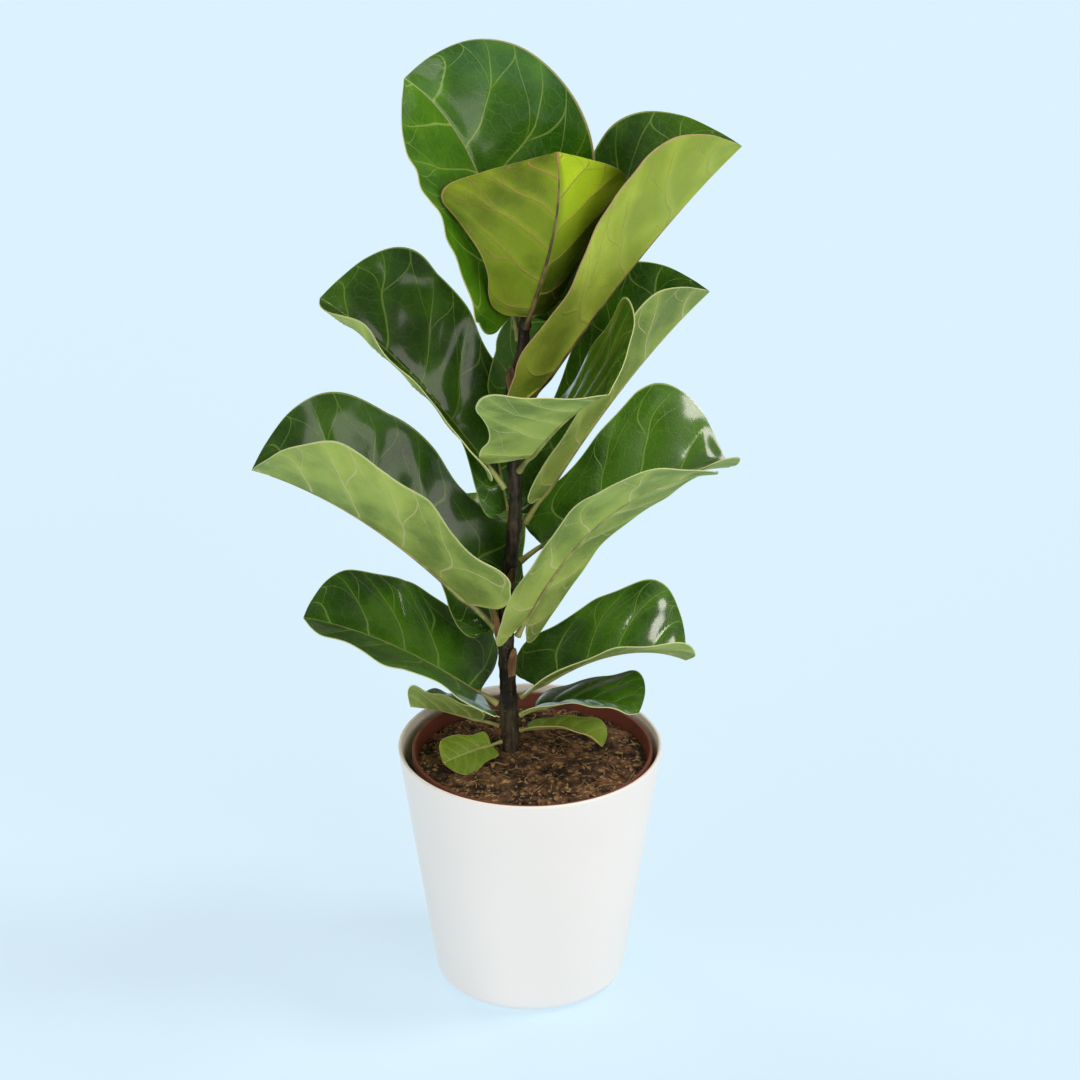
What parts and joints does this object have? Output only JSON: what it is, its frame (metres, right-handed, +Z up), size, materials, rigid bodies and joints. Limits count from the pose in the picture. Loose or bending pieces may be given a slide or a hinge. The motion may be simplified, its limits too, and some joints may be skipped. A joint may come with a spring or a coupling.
{
  "type": "potted fiddle leaf fig",
  "caption": "Young fiddle leaf fig with large upright leaves on one stem, growing in a nursery pot set in a plain tapered white cover pot.",
  "frame": {"origin": "centre of the cover pot's flat underside", "axes": "+Z up the stem, -Y towards the side the young top leaf faces, +X to its right"},
  "size_m": [0.3364, 0.2356, 0.6828],
  "materials": {
    "cover_pot": "satin white moulded",
    "nursery_pot": "thin terracotta brown moulded",
    "soil": "moist peat potting mix",
    "bark": "smooth young bark",
    "bud_sheath": "dry papery sheath",
    "young_leaf": "fresh, slightly glossy",
    "mature_leaf": "waxy, glossy above and matte below"
  },
  "bodies": {
    "root": {"cover_pot": "cover_pot", "nursery_pot": "nursery_pot", "soil": "soil", "stem": "bark", "terminal_bud": "bud_sheath", "leaf_top_right": "young_leaf", "leaf_top_front": "young_leaf", "leaf_right_small": "young_leaf", "leaf_front_small": "young_leaf", "leaf_top_left": "mature_leaf", "leaf_left_upper": "mature_leaf", "leaf_right_upper": "mature_leaf", "leaf_centre": "mature_leaf", "leaf_left_middle": "mature_leaf", "leaf_right_middle": "mature_leaf", "leaf_right_inner": "mature_leaf", "leaf_left_lower": "mature_leaf", "leaf_right_lower": "mature_leaf", "leaf_right_low": "mature_leaf", "leaf_back_low": "mature_leaf", "leaf_back_left": "mature_leaf", "leaf_back_middle": "mature_leaf"}
  },
  "joints": []
}
